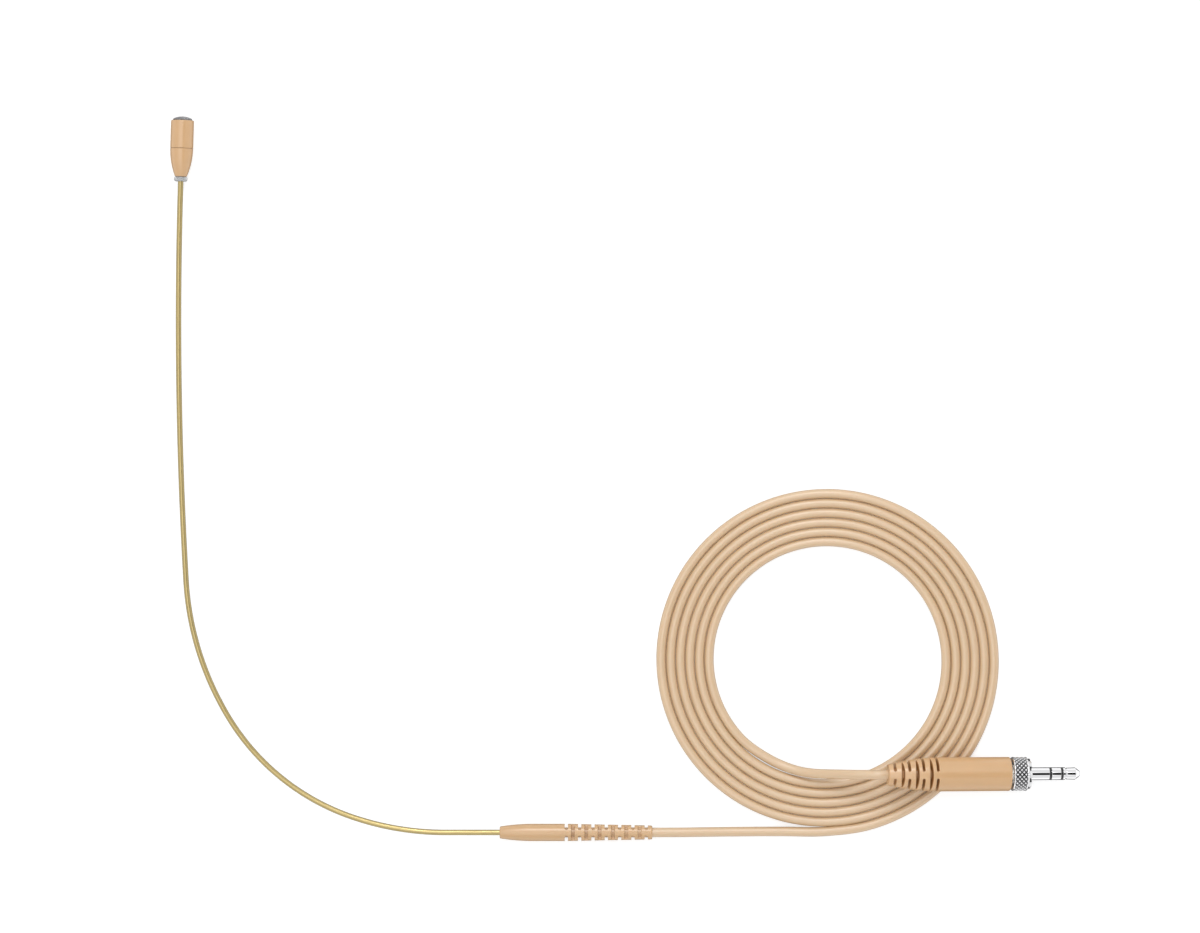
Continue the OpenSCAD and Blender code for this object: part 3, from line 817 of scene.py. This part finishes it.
def add_plug_cover():
    length = plug.span("plug_cover")[1]
    radius = plug.radius("plug_cover")
    relief, end_r = 14.75 * MM, 2.8 * MM
    sweep_r = (relief**2 + (radius - end_r)**2) / (2 * (radius - end_r))
    bore, core, seat, flange = 1.32 * MM, 1.9 * MM, 3.62 * MM, length - 6.2 * MM
    cavity_r, cavity_from = 3 * MM, 17 * MM
    edge = 0.3 * MM

    def radius_at(z):
        return swept(radius, sweep_r, relief, z) if z < relief else radius

    slots = []
    first, pitch, count = 1.6 * MM, 3.87 * MM, 4
    for i in range(count):
        slots.append(Slot(first + i * pitch, 0.78 * MM, 1.0 * MM, core, True, 0.38 * MM))
        if i < count - 1:
            z = first + (i + 0.5) * pitch + 0.2 * MM
            lens = radius_at(z) * 0.97
            slots.append(Slot(z, 0.95 * MM, 0.95 * MM, core, False, 0.12 * MM, lens))

    outline = round_foot(bore, radius_at(edge), 0, edge)
    outline += outer_line(radius_at, edge, length - 1 * MM, 0.4 * MM, slots)
    outline += fillet([
        (radius, length - 0.9 * MM), (radius, length, 0.35 * MM), (seat, length, 0.1 * MM),
        (seat, flange), (cavity_r, flange), (cavity_r, cavity_from), (bore, cavity_from),
    ])
    cover = lathe("cover", plug, outline, materials["plug_cover"], 160, slotted(slots))
    return finish(cover, "root", "plug_cover", "plug_cover")


# --- Plug: fluted neck, knurled lock ring and polished pin ----------------------------------------

def triangle_wave(t):
    """0 at whole numbers, 1 half way between them."""
    return 1 - abs(2 * (t - math.floor(t)) - 1)


def add_neck():
    low, top = plug.span("plug_neck")
    cover_end = plug.span("plug_cover")[1]
    ring_from, nose_to = plug.span("lock_ring")
    lip = nose_to - 1.2 * MM
    flutes, flute_depth = 8, 0.35 * MM
    bore, flange, neck, lip_r = 1.52 * MM, 3.6 * MM, 2.25 * MM, 2.6 * MM
    flute_r = 2.75 * MM
    gap = 0.05 * MM
    flute_from, flute_to = cover_end - gap, ring_from - gap

    def shape(r, z, angle):
        if abs(r - flute_r) < 0.01 * MM:
            return r - flute_depth * triangle_wave(flutes * angle / TURN + 0.5), z
        return r, z

    outline = [
        (bore, low), (flange, low), (flange, flute_from), (flute_r, flute_from),
        (flute_r, cover_end + 0.25 * MM), (flute_r, flute_to), (neck, flute_to),
        (neck, lip), (lip_r, lip), (lip_r, top), (bore, top),
    ]
    neck_piece = lathe("neck", plug, outline, materials["nickel"], 128, shape)
    return finish(neck_piece, "root", "nickel", "plug_neck")


def add_lock_ring():
    """A diamond knurl, and in front of it a threaded nose that gaps cut into lands."""
    low, nose_to = plug.span("lock_ring")
    radius = plug.radius("lock_ring")
    knurl_to = nose_to - 0.95 * MM
    bore, hollow, nose_r = 2.33 * MM, 2.7 * MM, 4.2 * MM
    lip = nose_to - 1.28 * MM
    edge = 0.32 * MM
    front_edge = edge * 0.6
    teeth, rows, cells = 22, 3, 12                # cells is how many points a tooth has each way
    depth, flank, fade_over, fade_from = 0.36 * MM, 1.35, 0.2 * MM, 0.25
    row_h = (knurl_to - low - 2 * edge) / rows
    lands, gap_depth, gap_half = 8, 0.7 * MM, 0.6 * MM
    gap_from, gap_floor = nose_to - gap_depth, hollow + 0.06 * MM
    thread_pitch, thread_depth, thread_steps = 0.3 * MM, 0.1 * MM, 15
    thread_from, thread_to = knurl_to + 0.05 * MM, nose_to - 0.1 * MM
    nearly = 1e-9                                 # tells the rows at the full radius from others

    def shape(r, z, angle):
        if r > radius - nearly and low + edge * 0.9 < z < knurl_to - edge * 0.9:
            turn = teeth * angle / TURN
            climb = (z - low - edge) / row_h
            ridge = min(triangle_wave(turn + climb), triangle_wave(turn - climb))
            from_end = min(z - low - edge, knurl_to - edge - z)
            fade = min(1, from_end / fade_over + fade_from)
            return r - depth * (1 - min(1, ridge * flank)) * fade, z
        if knurl_to < z and r > hollow + 0.2 * MM:
            share = lands * angle / TURN - 0.5
            off = (share - round(share)) * TURN / lands
            if z > gap_from and abs(math.sin(off)) * nose_r < gap_half:
                return gap_floor, z
            if r > nose_r - nearly:
                return r - thread_depth * triangle_wave(z / thread_pitch + angle / TURN), z
        return r, z

    outline = round_foot(bore, radius, low, edge)
    outline += [(radius, low + edge + row_h * k / cells) for k in range(rows * cells + 1)]
    quarter = [math.pi / 10 * k for k in range(1, 6)]
    outline += [(radius - front_edge + front_edge * math.cos(a),
                 knurl_to - front_edge + front_edge * math.sin(a)) for a in quarter]
    outline += [(nose_r - 0.02 * MM, knurl_to), (nose_r - 0.02 * MM, knurl_to + 0.03 * MM)]
    heights = [thread_from + (thread_to - thread_from) * k / thread_steps
               for k in range(thread_steps + 1)]
    before = [z for z in heights if z < gap_from - 0.01 * MM]
    after = [z for z in heights if z > gap_from + 0.01 * MM]
    step = [gap_from - 0.001 * MM, gap_from + 0.001 * MM]
    outline += [(nose_r, z) for z in before + step + after]
    outline += [(nose_r - 0.1 * MM, nose_to), (hollow + 0.3 * MM, nose_to), (hollow, nose_to),
                (hollow, lip), (bore, lip)]
    ring = lathe("ring", plug, outline, materials["knurled_nickel"], teeth * cells, shape)
    return finish(ring, "lock_ring", "knurled_nickel", "lock_ring")


def add_pin():
    """The contacts of the pin and the black bands between them, each on its own inner tube."""
    pieces = []
    radius = plug.radius("jack_sleeve")
    band_r = radius - 0.01 * MM
    band = 0.65 * MM              # the length of a black band
    bevel = 0.05 * MM
    groove_r = 1.42 * MM          # of the groove behind the tip

    def contact(name, slot, corners, *replaced):
        piece = lathe(name, plug, fillet(corners, 6), materials[slot], 128)
        pieces.append(finish(piece, "root", slot, *replaced))

    low, high = plug.span("jack_sleeve")
    nose_to = plug.span("lock_ring")[1]
    inner, root_r = 1.2 * MM, 1.5 * MM
    contact("pin_sleeve", "jack_chrome", [
        (inner, low), (root_r, low), (root_r, nose_to), (radius, nose_to), (radius, high, bevel),
        (inner, high),
    ], "jack_sleeve")

    low, ring_high = plug.span("jack_ring")
    ring_from = high + band
    inner, outer = 0.57 * MM, 0.85 * MM
    contact("pin_ring", "jack_chrome", [
        (inner, low), (outer, low), (outer, ring_from), (radius, ring_from, bevel),
        (radius, ring_high, bevel), (inner, ring_high),
    ], "jack_ring")

    low, tip_high = plug.span("jack_tip")
    tip_from = ring_high + band
    outer = 0.3 * MM
    contact("pin_tip", "jack_chrome", [
        (0, low), (outer, low), (outer, tip_from), (radius, tip_from, bevel),
        (radius, tip_from + 0.6 * MM, 0.1 * MM), (groove_r, tip_from + 0.72 * MM, 0.1 * MM),
        (groove_r, tip_from + 0.88 * MM, 0.1 * MM), (1.6 * MM, tip_from + 1.05 * MM, 0.12 * MM),
        (1.68 * MM, tip_high - 1.35 * MM, 0.35 * MM), (0.75 * MM, tip_high, 0.6 * MM),
        (0, tip_high),
    ], "jack_tip")

    low = plug.span("jack_insulators")[0]
    for name, start, inner, outer, end, replaced in (
            ("band_sleeve", low + 2 * MM, 0.87 * MM, 1.18 * MM, high, ["jack_insulators"]),
            ("band_tip", low, 0.32 * MM, 0.55 * MM, ring_high, [])):
        contact(name, "black_plastic", [
            (inner, start), (outer, start), (outer, end), (band_r, end),
            (band_r, end + band), (inner, end + band),
        ], *replaced)
    return pieces


# --- Studio ---------------------------------------------------------------------------------------

def add_floor():
    """A pale table that glows a little, so that it renders white, and lights nothing itself."""
    size = 4.0
    corners = [(-size, -size, 0), (size, -size, 0), (size, size, 0), (-size, size, 0)]
    f = Finish("table", Specular_IOR_Level=0.1, Emission_Color=(1, 1, 1, 1), Emission_Strength=0.62)
    f.colours(f.grain(3, 2), (0.49, 0.49, 0.49), (0.51, 0.51, 0.51))
    f.rough(f.grain(40), 0.7, 0.8)
    floor = make_mesh("table", corners, [(0, 1, 2, 3)], [(x, y) for x, y, _ in corners], f.material)
    floor.visible_diffuse = False
    floor.visible_glossy = False
    floor.visible_shadow = False


def add_world():
    """A soft studio dome, brightest overhead, with one dark strip for the polished pin to show."""
    world = bpy.data.worlds.new("studio")
    bpy.context.scene.world = world
    world.use_nodes = True
    tree = world.node_tree
    background = tree.nodes["Background"]
    place = tree.nodes.new("ShaderNodeTexCoord")
    parts = tree.nodes.new("ShaderNodeSeparateXYZ")
    ramp = tree.nodes.new("ShaderNodeValToRGB")
    span = tree.nodes.new("ShaderNodeMapRange")
    span.inputs["From Min"].default_value = -1
    span.inputs["From Max"].default_value = 1
    tree.links.new(place.outputs["Generated"], parts.inputs["Vector"])
    tree.links.new(parts.outputs["Z"], span.inputs["Value"])
    tree.links.new(span.outputs["Result"], ramp.inputs["Fac"])
    # Each height is the sine of the elevation, from straight down at -1 to straight up at 1.
    stops = [
        (-1, 0.15), (-0.62, 0.2), (-0.46, 1.15), (-0.05, 1.25), (0.1, 1.0),
        (0.55, 0.85), (0.8, 0.9), (0.9, 1.8), (1, 1.9),
    ]
    elements = ramp.color_ramp.elements
    while len(elements) < len(stops):
        elements.new(0.5)
    scale = max(level for _, level in stops)
    for element, (height, level) in zip(elements, stops):
        element.position = (height + 1) / 2
        element.color = (level / scale,) * 3 + (1,)
    tree.links.new(ramp.outputs["Color"], background.inputs["Color"])

    # The dark strip lies across the plug, where the top of its pin mirrors it into the camera.
    # It goes this far to each side of its middle, across the pin's direction and along it.
    pin_top, pin_axis = plug.matrix.col[0].xyz, plug.matrix.col[2].xyz
    pin_middle = plug.at(sum(plug.span("jack_sleeve")) / 2)
    to_camera = (bpy.context.scene.camera.location - pin_middle).normalized()
    strip = 2 * pin_top * pin_top.dot(to_camera) - to_camera
    reach, breadth = math.radians(21), math.radians(11)

    def bright(direction, level, dark, clear):
        """0 where a ray's share of this direction is within dark of level, and 1 beyond clear."""
        share = tree.nodes.new("ShaderNodeVectorMath")
        share.operation = "DOT_PRODUCT"
        share.inputs[1].default_value = direction
        off = tree.nodes.new("ShaderNodeMath")
        off.operation = "SUBTRACT"
        off.inputs[1].default_value = level
        away = tree.nodes.new("ShaderNodeMath")
        away.operation = "ABSOLUTE"
        edge = tree.nodes.new("ShaderNodeMapRange")
        edge.inputs["From Min"].default_value = dark
        edge.inputs["From Max"].default_value = clear
        tree.links.new(place.outputs["Generated"], share.inputs[0])
        tree.links.new(share.outputs["Value"], off.inputs[0])
        tree.links.new(off.outputs["Value"], away.inputs[0])
        tree.links.new(away.outputs["Value"], edge.inputs["Value"])
        return edge.outputs["Result"]

    across = bright(strip, 1, 1 - math.cos(reach * 0.9), 1 - math.cos(reach))
    lengthwise = bright(pin_axis, strip.dot(pin_axis), math.sin(breadth * 0.8), math.sin(breadth))
    either = tree.nodes.new("ShaderNodeMath")
    either.operation = "MAXIMUM"
    strength = tree.nodes.new("ShaderNodeMath")
    strength.operation = "MULTIPLY"
    strength.inputs[1].default_value = scale
    tree.links.new(across, either.inputs[0])
    tree.links.new(lengthwise, either.inputs[1])
    tree.links.new(either.outputs["Value"], strength.inputs[0])
    tree.links.new(strength.outputs["Value"], background.inputs["Strength"])


def add_light(name, place, size, power):
    """A square lamp that faces the origin."""
    data = bpy.data.lights.new(name, "AREA")
    data.size = size
    data.energy = power
    lamp = bpy.data.objects.new(name, data)
    lamp.location = place
    lamp.rotation_euler = (-Vector(place)).to_track_quat("-Z", "Y").to_euler()
    bpy.context.scene.collection.objects.link(lamp)


add_camera()
cable, cable_path, cable_length, cable_width = add_cable()
cover = add_plug_cover()
neck = add_neck()
lock_ring = add_lock_ring()
pin = add_pin()
[tuple(p) for p in cable_path]
add_boom()
add_cap()
add_grille()
add_housing()
add_drip_ring()
add_grip()
add_floor()
add_world()
add_light("key", place=(0.05, 0.9, 1.1), size=0.5, power=4.5)
bpy.context.scene.view_settings.view_transform = "Standard"
